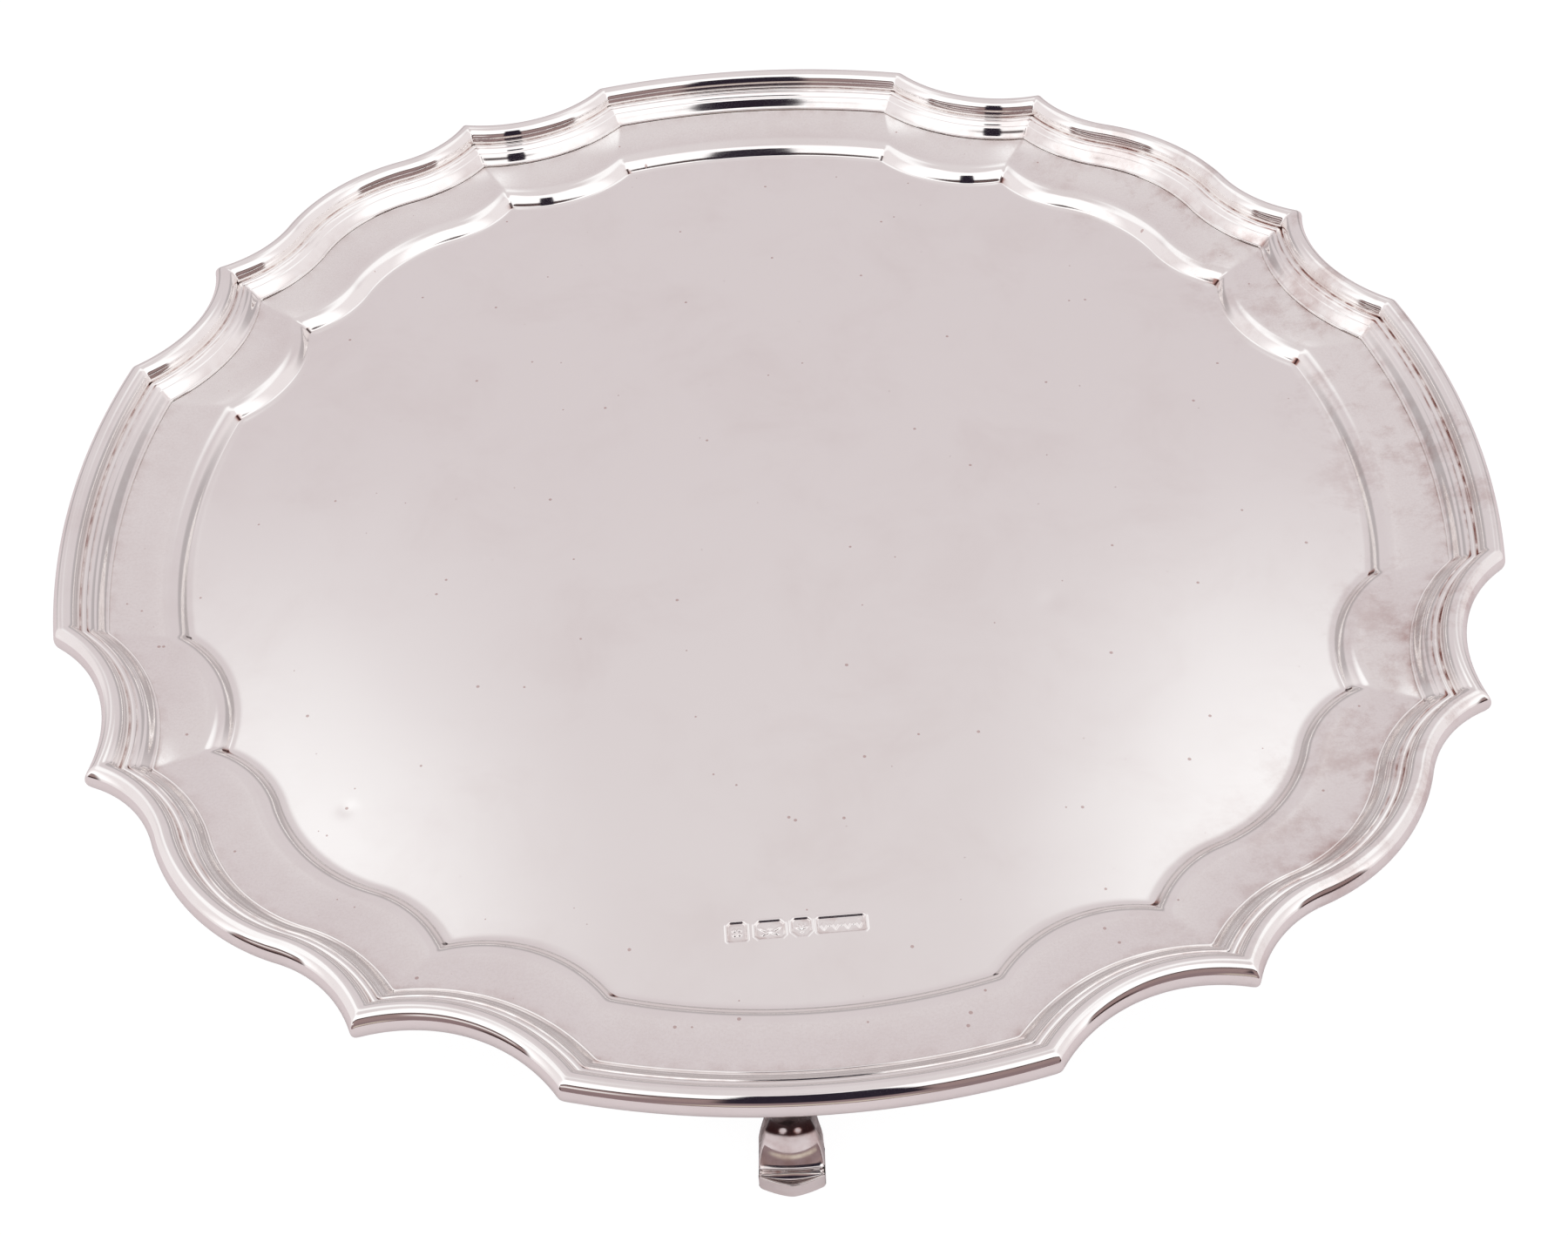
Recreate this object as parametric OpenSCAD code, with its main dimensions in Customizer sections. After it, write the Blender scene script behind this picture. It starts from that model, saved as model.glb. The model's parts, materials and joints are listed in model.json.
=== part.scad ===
// Shaped salver: one raised sheet, a cast border in eight mitred lengths, and
// four cast feet.  Millimetres, +Z up, origin on the resting surface under the
// centre.  +X is right, -Y is the front; the four sides face +X, +Y, -X and -Y.

/* [Outline] */
// Radius of the circle through the border's eight cusps, on the roll's centre line
cusp_radius = 126; // [100:1:180]
// Angle from the middle of a bracket to its cusps
bracket_half_angle = 15; // [13:0.5:16]
// Angle from the middle of a long side to its corners
side_half_angle = 15.4; // [14:0.1:16]
// Radius of a corner, as a share of the cusp radius
corner_share = 0.996; // [0.985:0.001:1.005]
// Radius of a long side's arc, as a share of the cusp radius
side_arc_share = 1.10; // [1:0.01:1.3]
// Radius of a scallop's arc, as a share of the cusp radius
scallop_share = 0.234; // [0.2:0.002:0.3]
// Distance from the centre to the middle of a bracket, as a share of the cusp radius
bracket_reach_share = 0.994; // [0.985:0.001:1.005]
// Radius of the arc in the middle of a bracket, as a share of the cusp radius
bracket_arc_share = 0.286; // [0.26:0.002:0.32]
// Radius of the hollow on each side of a bracket, as a share of the cusp radius
bracket_hollow_share = 0.19; // [0.17:0.002:0.22]

/* [Border] */
// Width of the outer roll
roll_width = 4.2; // [3:0.1:5]
// Height of the outer roll
roll_height = 5.2; // [4:0.1:6]
// Distance from the roll's centre line in to the border's inner edge
border_reach = 6.2; // [6:0.1:7]
// Drop from the roll's centre line to the border's seat on the sheet
border_drop = 3.6; // [3.4:0.1:4.2]

/* [Sheet] */
// Thickness of the raised sheet
sheet = 0.8; // [0.6:0.1:1.2]
// Distance from the roll's centre line in to the sheet's edge
sheet_edge = 0.5; // [0.4:0.1:1]
// Size of the step's outline, as a share of the border's
step_share = 0.857; // [0.82:0.001:0.87]
// Width of the step's rounded shoulder, from the flange in to the step's outline
shoulder_width = 2.3; // [1.5:0.1:3]
// Width of the step's foot, from its outline in to the field
fillet_width = 2.2; // [1.2:0.1:3]
// Drop from the roll's centre line to the top of the step
shoulder_drop = 5.3; // [4.5:0.1:6.2]
// Drop from the roll's centre line to the field
field_drop = 7.9; // [7:0.1:9]

/* [Feet] */
// Height of the roll's centre line above the resting surface
stand_height = 23.4; // [20:0.1:30]
// Width of a foot's pad
foot_width = 9.7; // [8:0.1:12]
// Length of a foot's pad, along the salver's radius
foot_length = 7.6; // [6:0.1:9]
// Width of a foot's neck
neck_width = 5.4; // [4.5:0.1:7]
// How far a foot's toe stands out past the roll's centre line
toe_reach = 3.6; // [2:0.1:5]
// Angle that the feet are set round from the middle of the long sides
foot_turn = -1.5; // [-4:0.5:4]

/* [Punches] */
// Width of each maker's punch, in order along the row
punch_widths = [3.7, 4.8, 3.3, 7.9];
// Length of every punch, across the row
punch_length = 4.1; // [3:0.1:5]
// Depth of the punches
punch_depth = 0.2; // [0.1:0.05:0.4]
// Distance from the centre to the row of punches
punch_reach = 92.9; // [60:0.1:96]

/* [Hidden] */

silver = [0.83, 0.81, 0.80];
polished_silver = [0.88, 0.87, 0.87];

// Chords along a long side, a scallop, a bracket's hollow and a bracket's arc
side_chords = 8;
scallop_chords = 7;
hollow_chords = 4;
arc_chords = 6;

// Heights above the resting surface
seat_z = stand_height - border_drop;
land_under_z = seat_z - sheet;
field_z = stand_height - field_drop;
shoulder_z = stand_height - shoulder_drop;

// ---------------------------------------------------------------- plane geometry

function polar(r, a) = [r * cos(a), r * sin(a)];
function turned(p, a) = [p[0] * cos(a) - p[1] * sin(a), p[0] * sin(a) + p[1] * cos(a)];
function swapped(p) = [p[1], p[0]];
function unit(v) = v / norm(v);
function left_of(v) = [-v[1], v[0]];
function angle_of(v) = atan2(v[1], v[0]);
function short_way(a) = a - 360 * round(a / 360);
function nearer(p, q, goal) = norm(p - goal) < norm(q - goal) ? p : q;

// Centre of an arc of radius r through p and q, on the origin's side of the
// chord where side is 1 and beyond the chord where it is -1
function arc_centre(p, q, r, side) =
    let (
        middle = (p + q) / 2,
        across = left_of(unit(q - p)),
        inward = across * middle < 0 ? across : -across,
        rise = sqrt(r * r - (q - p) * (q - p) / 4)
    )
    middle + side * rise * inward;

// Where two circles meet, taking the point nearer to goal
function circles_meet(c1, r1, c2, r2, goal) =
    let (
        gap = norm(c2 - c1),
        along = (r1 * r1 - r2 * r2 + gap * gap) / (2 * gap),
        rise = sqrt(max(r1 * r1 - along * along, 0)),
        foot = c1 + along * unit(c2 - c1),
        across = left_of(unit(c2 - c1))
    )
    nearer(foot + rise * across, foot - rise * across, goal);

// ---------------------------------------------------------------- the outline

// An outline is a list of arcs, anticlockwise from the right-hand side's lower
// corner: [centre, radius, bulge, start, smooth, chords].  bulge is 1 where the
// arc bows outward and -1 where it bows inward; smooth is true where the arc
// starts tangent to the one before it.
function quarter_arcs(size, side_radius) =
    let (
        corner = polar(size * corner_share, side_half_angle),
        low_corner = [corner[0], -corner[1]],
        cusp = polar(size, 45 - bracket_half_angle),
        scallop = size * scallop_share,
        hollow = size * bracket_hollow_share,
        arc = size * bracket_arc_share,
        side_centre = arc_centre(low_corner, corner, side_radius, 1),
        scallop_centre = arc_centre(corner, cusp, scallop, -1),
        bracket_centre = polar(size * bracket_reach_share - arc, 45),
        outside = 1.3 * cusp,
        hollow_centre = circles_meet(cusp, hollow, bracket_centre, arc + hollow, outside),
        blend = bracket_centre + arc * unit(hollow_centre - bracket_centre)
    )
    [
        [side_centre, side_radius, 1, low_corner, false, side_chords],
        [scallop_centre, scallop, -1, corner, false, scallop_chords],
        [hollow_centre, hollow, -1, cusp, false, hollow_chords],
        [bracket_centre, arc, 1, blend, true, arc_chords],
        [swapped(hollow_centre), hollow, -1, swapped(blend), true, hollow_chords],
        [swapped(scallop_centre), scallop, -1, swapped(cusp), false, scallop_chords]
    ];

function outline(size, side_radius) =
    [for (quarter = [0:3], arc = quarter_arcs(size, side_radius))
        [turned(arc[0], 90 * quarter), arc[1], arc[2],
         turned(arc[3], 90 * quarter), arc[4], arc[5]]];

border_line = outline(cusp_radius, cusp_radius * side_arc_share);
step_line = outline(cusp_radius * step_share, cusp_radius * step_share * corner_share);

arc_count = len(border_line);
function arc_at(line, i) = line[(i + arc_count) % arc_count];

// Arc radius after the whole outline has moved inward by inset
function inset_radius(arc, inset) = arc[1] - arc[2] * inset;

// Start point of arc i after the outline has moved inward by inset: a mitre where
// two arcs meet at an angle, and a point on the shared normal where they are tangent
function start_point(line, i, inset) =
    let (here = arc_at(line, i), before = arc_at(line, i - 1))
    here[4]
        ? here[0] + inset_radius(here, inset) * unit(here[3] - here[0])
        : circles_meet(before[0], inset_radius(before, inset),
                       here[0], inset_radius(here, inset), here[3]);

// Points along arc i, without its last one
function arc_points(line, i, inset) =
    let (
        arc = arc_at(line, i),
        from = angle_of(start_point(line, i, inset) - arc[0]),
        sweep = short_way(angle_of(start_point(line, i + 1, inset) - arc[0]) - from)
    )
    [for (k = [0:arc[5] - 1])
        arc[0] + polar(inset_radius(arc, inset), from + sweep * k / arc[5])];

// Points along a run of arcs, with the last one's end point
function run_points(line, first, count, inset) = [
    for (i = [first:first + count - 1], p = arc_points(line, i, inset)) p,
    start_point(line, first + count, inset)
];

function ring_points(line, inset) =
    [for (i = [0:arc_count - 1], p = arc_points(line, i, inset)) p];

// ---------------------------------------------------------------- tray sheet

flange_dish = 0.25;

// Points of a parabola-like bend from one point to another, pulled towards a third
function bend(from, pull, to, steps) = [
    for (k = [0:steps])
        let (t = k / steps)
        (1 - t) * (1 - t) * from + 2 * t * (1 - t) * pull + t * t * to
];

function ring_between(a, b, share) = [for (i = [0:len(a) - 1]) a[i] + share * (b[i] - a[i])];
function ring_at(ring, z) = [for (p = ring) [p[0], p[1], z]];

// The step from the flange down to the field, as [inset, z] from the step's outline:
// a broad rounded shoulder, a face that steepens, then a short fillet at its foot
shoulder_steps = 4;
face_steps = 2;
fillet_steps = 2;
brow = [-0.35, field_z + 1.5];
base = [0.55, field_z + 0.35];
step_profile = concat(
    bend([-shoulder_width, shoulder_z], [-1.05, shoulder_z - 0.3], brow, shoulder_steps),
    bend(brow, [0.15, field_z + 0.93], base, face_steps),
    bend(base, [0.85, field_z], [fillet_width, field_z], fillet_steps)
);

sheet_edge_ring = ring_points(border_line, sheet_edge);
flange_outer_ring = ring_points(border_line, border_reach);
flange_inner_ring = ring_points(step_line, -shoulder_width);

// The sheet's upper face, from its edge in to the field
upper_rings = concat(
    [
        ring_at(sheet_edge_ring, seat_z),
        ring_at(flange_outer_ring, seat_z),
        ring_at(ring_between(flange_outer_ring, flange_inner_ring, 0.5),
                (seat_z + shoulder_z) / 2 - flange_dish)
    ],
    [for (k = [0:len(step_profile) - 1])
        if (k != shoulder_steps && k != shoulder_steps + face_steps + 1)
            ring_at(ring_points(step_line, step_profile[k][0]), step_profile[k][1])]
);

function lowered(ring, drop) = [for (p = ring) [p[0], p[1], p[2] - drop]];

module raised_sheet() {
    upper_count = len(upper_rings);
    ring_size = len(upper_rings[0]);
    lower_rings = [for (k = [upper_count - 1:-1:0]) lowered(upper_rings[k], sheet)];
    rings = concat(upper_rings, lower_rings);
    points = concat([for (ring = rings, p = ring) p], [[0, 0, field_z], [0, 0, field_z - sheet]]);
    top_middle = len(points) - 2;
    bottom_middle = len(points) - 1;
    function at(ring, i) = (ring % len(rings)) * ring_size + i % ring_size;
    bands = [
        for (ring = [0:len(rings) - 1], i = [0:ring_size - 1])
            if (ring != upper_count - 1)
                each [
                    [at(ring, i), at(ring + 1, i), at(ring, i + 1)],
                    [at(ring, i + 1), at(ring + 1, i), at(ring + 1, i + 1)]
                ]
    ];
    middles = [
        for (i = [0:ring_size - 1])
            each [
                [at(upper_count - 1, i), top_middle, at(upper_count - 1, i + 1)],
                [at(upper_count, i + 1), bottom_middle, at(upper_count, i)]
            ]
    ];
    polyhedron(points, concat(bands, middles), convexity = 6);
}

punch_gap = 0.65;
punch_count = len(punch_widths);
function sum(list, count) = count == 0 ? 0 : list[count - 1] + sum(list, count - 1);
punch_row = sum(punch_widths, punch_count) + punch_gap * (punch_count - 1);

// Shallow sunk panels for the maker's marks, in a row near the front of the field
module punches() {
    for (k = [0:punch_count - 1])
        translate([
            sum(punch_widths, k) + punch_gap * k - punch_row / 2,
            -punch_reach - punch_length / 2,
            field_z - punch_depth
        ])
            cube([punch_widths[k], punch_length, 2 * punch_depth]);
}

module tray_sheet() {
    color(silver)
        difference() {
            raised_sheet();
            punches();
        }
}

// ---------------------------------------------------------------- cast border

// The roll is an ellipse, drawn from roll_foot_angle over the top to roll_groove_angle
roll_steps = 12;
roll_foot_angle = 262;
roll_groove_angle = -20;
// Inset of the seat's outer corner, just inside the sheet's edge
seat_inset = 0.3;
groove_width = 0.05;
groove_drop = 1.5;
reed_width = 1.2;
reed_rise = 0.5;
// The reed's crest as [share of its width, share of its rise]
reed_crest = [[0.3, 0.8], [0.6, 1]];
band_rise = 0.3;
quirk_depth = 0.15;
quirk_width = 0.4;
cove_width = 1.4;
cove_steps = 4;
lip_width = 0.3;
lip_height = 0.5;
lip_slope = 0.1;

// Border's cross-section as [inset, z], in order from the seat round the outside:
// the roll, a fine reed, a flat band, and a hollow that runs down to a small lip
roll_profile = [
    for (k = [0:roll_steps])
        let (a = roll_foot_angle + (roll_groove_angle - roll_foot_angle) * k / roll_steps)
        [roll_width / 2 * cos(a), roll_height / 2 * sin(a)]
];
reed_from = roll_profile[roll_steps][0] + groove_width;
band_from = reed_from + reed_width;
lip_from = border_reach - lip_width;
cove_from = lip_from - cove_width;
band_z = band_rise - groove_drop;
reed_profile = concat(
    [[reed_from, -groove_drop]],
    [for (p = reed_crest) [reed_from + reed_width * p[0], reed_rise * p[1] - groove_drop]],
    [[band_from, band_z - quirk_depth]]
);
cove_profile = [
    for (k = [0:cove_steps])
        let (a = 90 * k / cove_steps)
        [cove_from + cove_width * (1 - cos(a)),
         band_z + (lip_height - border_drop - band_z) * sin(a)]
];
border_profile = concat(
    [[seat_inset, -border_drop]],
    roll_profile,
    reed_profile,
    [[band_from + quirk_width, band_z]],
    cove_profile,
    [[border_reach, lip_height - lip_slope - border_drop], [border_reach, -border_drop]]
);
// A point inside the cross-section that sees all of its outline, as shares of the
// roll's width and of the border's drop
core_shares = [0.36, 0.72];
border_core = [core_shares[0] * roll_width, -core_shares[1] * border_drop];

// One cast length of border, along a run of arcs, mitred at both ends
module border_length(first_arc, arcs) {
    lines = [for (p = border_profile) run_points(border_line, first_arc, arcs, p[0])];
    core = run_points(border_line, first_arc, arcs, border_core[0]);
    profile_size = len(border_profile);
    last = len(core) - 1;
    points = concat(
        [for (station = [0:last], k = [0:profile_size - 1])
            [lines[k][station][0], lines[k][station][1], stand_height + border_profile[k][1]]],
        [for (station = [0, last])
            [core[station][0], core[station][1], stand_height + border_core[1]]]
    );
    start_core = len(points) - 2;
    end_core = len(points) - 1;
    function at(station, k) = station * profile_size + k % profile_size;
    skin = [
        for (station = [0:last - 1], k = [0:profile_size - 1])
            each [
                [at(station, k), at(station, k + 1), at(station + 1, k)],
                [at(station + 1, k), at(station, k + 1), at(station + 1, k + 1)]
            ]
    ];
    ends = [
        for (k = [0:profile_size - 1])
            each [
                [at(0, k + 1), at(0, k), start_core],
                [at(last, k), at(last, k + 1), end_core]
            ]
    ];
    color(polished_silver)
        polyhedron(points, concat(skin, ends), convexity = 6);
}

quarter_count = 6;

// A long side with the scallop at each end of it; side 0 is the right-hand one
module border_side(side) {
    border_length(quarter_count * side - 1, 3);
}

// A bracket between two cusps; bracket 0 is at the back right
module border_bracket(bracket) {
    border_length(quarter_count * bracket + 2, 3);
}

// ---------------------------------------------------------------- cast feet

bend_steps = 6;
// Distance from the centre to the roll's centre line in the middle of a long side
side_middle = border_line[0][0][0] + border_line[0][1];

// Pad, with an upturned rim at its toe, and the narrow ledge above it
pad_height = 3.7;
toe_u = side_middle + toe_reach;
heel_u = toe_u - foot_length;
toe_bow = 1.5;
toe_bow_power = 1.5;
toe_points = 10;
toe_dish = 0.7;
rim_width = 1;
ledge_z = 4.6;
ledge_u = toe_u - 2.4;
ledge_width = 0.5;
ledge_slope = 0.1;
ledge_undercut = 0.1;

// Leg, hollow at its shin and nearly straight at its calf; leg_inset keeps its top
// inside the land that it is fixed to
leg_inset = 0.2;
leg_outer_top = side_middle - sheet_edge - leg_inset;
leg_inner_top = side_middle - border_reach + leg_inset;
shin_hollow = 3.1;
shin_z = 10;
calf_hollow = 0.7;
calf_z = 10;
heel_step = 0.8;
hip_z = 7.6;
hip_inset = 0.65;
neck_z = 12;
neck_flare = 0.4;
pad_taper = 0.2;
ankle_rise = 0.9;

// Foot seen from the side, as [distance from the centre, z]
foot_side = concat(
    bend([leg_outer_top, land_under_z], [leg_outer_top - shin_hollow, shin_z], [ledge_u, ledge_z],
         bend_steps),
    [
        [ledge_u + ledge_width, ledge_z - ledge_slope],
        [ledge_u + ledge_width - ledge_undercut, pad_height + ledge_undercut]
    ],
    bend(
        [ledge_u + ledge_width + ledge_undercut, pad_height - ledge_undercut],
        [toe_u - rim_width, pad_height - toe_dish],
        [toe_u, pad_height],
        bend_steps
    ),
    [[toe_u, 0], [heel_u, 0]],
    bend([heel_u + heel_step, ledge_z], [leg_inner_top - calf_hollow, calf_z],
         [leg_inner_top, land_under_z], bend_steps)
);

// Right half of the foot seen from the front, as [x, z]
half_width = foot_width / 2;
foot_half_front = concat(
    [[half_width, 0], [half_width, pad_height], [half_width - pad_taper, ledge_z]],
    bend([half_width - pad_taper, ledge_z + ankle_rise], [half_width - hip_inset, hip_z],
         [neck_width / 2, neck_z], bend_steps),
    [[neck_width / 2 + neck_flare, land_under_z]]
);
foot_front = concat(
    foot_half_front,
    [for (k = [len(foot_half_front) - 1:-1:0]) [-foot_half_front[k][0], foot_half_front[k][1]]]
);

// Foot seen from above, with a bowed toe that comes to a soft point; the extrusions
// reach plan_margin past the foot where they are not meant to trim it
plan_margin = 6;
foot_plan = concat(
    [
        [-foot_width, heel_u - plan_margin],
        [foot_width, heel_u - plan_margin],
        [foot_width, toe_u - toe_bow]
    ],
    [for (k = [0:toe_points])
        let (x = 1 - 2 * k / toe_points)
        [x * half_width, toe_u - toe_bow * pow(abs(x), toe_bow_power)]],
    [[-foot_width, toe_u - toe_bow]]
);

// One cast foot, standing in the direction of +Y before it is turned into place
module foot(direction) {
    color(silver)
        rotate([0, 0, direction - 90])
            intersection() {
                translate([-foot_width, 0, 0])
                    rotate([90, 0, 90])
                        linear_extrude(2 * foot_width)
                            polygon(foot_side);
                translate([0, toe_u + plan_margin, 0])
                    rotate([90, 0, 0])
                        linear_extrude(foot_length + 2 * plan_margin)
                            polygon(foot_front);
                linear_extrude(land_under_z + plan_margin)
                    polygon(foot_plan);
            }
}

tray_sheet();
border_side(0);  // border_side_right
border_side(1);  // border_side_back
border_side(2);  // border_side_left
border_side(3);  // border_side_front
border_bracket(0);  // border_bracket_back_right
border_bracket(1);  // border_bracket_back_left
border_bracket(2);  // border_bracket_front_left
border_bracket(3);  // border_bracket_front_right
foot(foot_turn);  // foot_right
foot(90 + foot_turn);  // foot_back
foot(180 + foot_turn);  // foot_left
foot(270 + foot_turn);  // foot_front
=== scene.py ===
import json
import math
from typing import NamedTuple

import bpy
import numpy as np
from mathutils import Matrix, Vector
from mathutils.geometry import delaunay_2d_cdt


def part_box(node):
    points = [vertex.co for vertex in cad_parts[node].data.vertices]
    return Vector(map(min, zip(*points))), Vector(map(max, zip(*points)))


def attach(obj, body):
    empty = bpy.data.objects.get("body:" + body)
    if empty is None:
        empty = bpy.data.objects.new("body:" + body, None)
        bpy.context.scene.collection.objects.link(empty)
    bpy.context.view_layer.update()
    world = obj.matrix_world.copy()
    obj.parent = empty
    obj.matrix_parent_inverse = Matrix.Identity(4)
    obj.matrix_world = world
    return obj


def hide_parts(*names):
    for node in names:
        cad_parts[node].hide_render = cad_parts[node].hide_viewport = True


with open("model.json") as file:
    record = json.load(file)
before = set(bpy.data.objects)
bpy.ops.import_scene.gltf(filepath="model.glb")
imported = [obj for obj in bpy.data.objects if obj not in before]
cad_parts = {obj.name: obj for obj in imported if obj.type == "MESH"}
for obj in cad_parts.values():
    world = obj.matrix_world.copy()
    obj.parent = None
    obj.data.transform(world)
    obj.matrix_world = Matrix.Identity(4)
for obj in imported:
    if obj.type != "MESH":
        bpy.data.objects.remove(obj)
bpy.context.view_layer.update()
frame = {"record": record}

MM = 0.001


def mm(*values):
    """Lengths in millimetres, as an array in metres."""
    return np.array(values) * MM


SIDES = ("right", "back", "left", "front")
BRACKETS = ("back_right", "back_left", "front_left", "front_right")

# ------------------------------------------------------------------ dimensions

# Outline, as shares of the cusp circle's radius; angles in radians
BRACKET_HALF_ANGLE = math.radians(15)
SIDE_HALF_ANGLE = math.radians(15.4)
CORNER_SHARE = 0.996
SIDE_ARC_SHARE = 1.10
SCALLOP_SHARE = 0.234
BRACKET_REACH_SHARE = 0.994
BRACKET_ARC_SHARE = 0.286
BRACKET_HOLLOW_SHARE = 0.19
STEP_SHARE = 0.857

# Border and sheet
ROLL_WIDTH = 4.2 * MM
ROLL_HEIGHT = 5.2 * MM
BORDER_REACH = 6.2 * MM
SHEET = 0.8 * MM
SHEET_EDGE = 0.5 * MM
SHOULDER_WIDTH = 2.3 * MM
FILLET_WIDTH = 2.2 * MM
STEP_DROP = 2.6 * MM
FLANGE_DISH = 0.25 * MM

# Feet
FOOT_WIDTH = 9.7 * MM
NECK_WIDTH = 5.4 * MM
# Height from which the necks are painted black, a painted dark reflection
NECK_PAINTED_DARK_Z = 8.5 * MM
FOOT_LENGTH = 7.6 * MM
TOE_REACH = 3.6 * MM
FOOT_TURN = math.radians(-1.5)

# Levels and places that the frame gives
MOUNTS = {mount["name"]: mount for mount in frame["record"]["mounts"]}
SIDE_LOW, SIDE_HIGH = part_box("border_side_right")
FIELD_Z = MOUNTS["field"]["pos_m"][2]
SHOULDER_Z = FIELD_Z + STEP_DROP
SEAT_Z = SIDE_LOW.z
ROLL_Z = SIDE_HIGH.z - ROLL_HEIGHT / 2
LAND_UNDER_Z = SEAT_Z - SHEET

# Steps along each kind of arc
SIDE_STEPS = 92
SCALLOP_STEPS = 60
HOLLOW_STEPS = 24
BRACKET_STEPS = 44

# ------------------------------------------------------------------ the outline


class Arc(NamedTuple):
    """One arc of the outline; bulge is 1 where it bows outward and -1 inward."""

    centre: np.ndarray
    radius: float
    bulge: int
    start: np.ndarray
    smooth: bool
    steps: int


def polar(radius, angle):
    return radius * np.array([math.cos(angle), math.sin(angle)])


def unit(v):
    return v / np.linalg.norm(v)


def arc_centre(p, q, radius, side):
    """Centre of an arc through p and q, on the origin's side of the chord where side is 1."""
    chord = q - p
    across = unit(np.array([-chord[1], chord[0]]))
    middle = (p + q) / 2
    if across @ middle > 0:
        across = -across
    return middle + side * math.sqrt(radius**2 - chord @ chord / 4) * across


def circles_meet(c1, r1, c2, r2, goal):
    """Where two circles meet, taking the point nearer to goal."""
    gap = np.linalg.norm(c2 - c1)
    along = (r1**2 - r2**2 + gap**2) / (2 * gap)
    rise = math.sqrt(max(r1**2 - along**2, 0))
    forward = (c2 - c1) / gap
    across = np.array([-forward[1], forward[0]])
    foot = c1 + along * forward
    return min((foot + rise * across, foot - rise * across), key=lambda p: np.linalg.norm(p - goal))


def quarter_arcs(size, side_radius):
    corner = polar(size * CORNER_SHARE, SIDE_HALF_ANGLE)
    low_corner = corner * (1, -1)
    cusp = polar(size, math.pi / 4 - BRACKET_HALF_ANGLE)
    scallop = size * SCALLOP_SHARE
    hollow = size * BRACKET_HOLLOW_SHARE
    arc = size * BRACKET_ARC_SHARE
    side_centre = arc_centre(low_corner, corner, side_radius, 1)
    scallop_centre = arc_centre(corner, cusp, scallop, -1)
    bracket_centre = polar(size * BRACKET_REACH_SHARE - arc, math.pi / 4)
    hollow_centre = circles_meet(cusp, hollow, bracket_centre, arc + hollow, 1.3 * cusp)
    blend = bracket_centre + arc * unit(hollow_centre - bracket_centre)
    return [
        Arc(side_centre, side_radius, 1, low_corner, False, SIDE_STEPS),
        Arc(scallop_centre, scallop, -1, corner, False, SCALLOP_STEPS),
        Arc(hollow_centre, hollow, -1, cusp, False, HOLLOW_STEPS),
        Arc(bracket_centre, arc, 1, blend, True, BRACKET_STEPS),
        Arc(hollow_centre[::-1], hollow, -1, blend[::-1], True, HOLLOW_STEPS),
        Arc(scallop_centre[::-1], scallop, -1, cusp[::-1], False, SCALLOP_STEPS),
    ]


def outline(size, side_radius):
    arcs = []
    for quarter in range(4):
        angle = quarter * math.pi / 2
        turn = np.array([[math.cos(angle), math.sin(angle)], [-math.sin(angle), math.cos(angle)]])
        for arc in quarter_arcs(size, side_radius):
            arcs.append(arc._replace(centre=arc.centre @ turn, start=arc.start @ turn))
    return arcs


UNIT_SIDE = quarter_arcs(1, SIDE_ARC_SHARE)[0]
SIDE_MIDDLE = SIDE_HIGH.x - ROLL_WIDTH / 2
CUSP_RADIUS = SIDE_MIDDLE / (UNIT_SIDE.centre[0] + UNIT_SIDE.radius)
STEP_SIZE = CUSP_RADIUS * STEP_SHARE
BORDER_LINE = outline(CUSP_RADIUS, CUSP_RADIUS * SIDE_ARC_SHARE)
STEP_LINE = outline(STEP_SIZE, STEP_SIZE * CORNER_SHARE)
ARC_COUNT = len(BORDER_LINE)
ARC_STARTS = np.concatenate([[0], np.cumsum([arc.steps for arc in BORDER_LINE])])
STATIONS = ARC_STARTS[-1]
CORNER_SPREAD = 4


def corner_shares():
    """1 at the stations of the outline's corners, falling to 0 a few stations away."""
    starts = ARC_STARTS[:-1][[not arc.smooth for arc in BORDER_LINE]]
    gap = np.abs(np.arange(STATIONS)[:, None] - starts)
    gap = np.minimum(gap, STATIONS - gap).min(axis=1)
    return np.exp(-((gap / CORNER_SPREAD) ** 2))


CORNERS = corner_shares()


def inset_radius(arc, inset):
    return arc.radius - arc.bulge * inset


def start_point(line, i, inset):
    """Start of arc i after the outline has moved in by inset: a mitre, or a tangent point."""
    here, before = line[i % ARC_COUNT], line[i - 1]
    if here.smooth:
        return here.centre + inset_radius(here, inset) * unit(here.start - here.centre)
    return circles_meet(
        before.centre, inset_radius(before, inset), here.centre, inset_radius(here, inset), here.start
    )


END_CROWDING = 0.122


def ring(line, inset):
    """Points round the outline moved in by inset, crowded towards the ends of each arc."""
    points = []
    for i, arc in enumerate(line):
        first = start_point(line, i, inset) - arc.centre
        last = start_point(line, (i + 1) % ARC_COUNT, inset) - arc.centre
        from_angle = math.atan2(first[1], first[0])
        sweep = math.remainder(math.atan2(last[1], last[0]) - from_angle, 2 * math.pi)
        share = np.arange(arc.steps) / arc.steps
        share = share - END_CROWDING * np.sin(2 * np.pi * share)
        angles = from_angle + sweep * share
        radius = inset_radius(arc, inset)
        points.append(arc.centre + radius * np.column_stack([np.cos(angles), np.sin(angles)]))
    return np.vstack(points)


EVEN_COUNT = 16384


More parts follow.
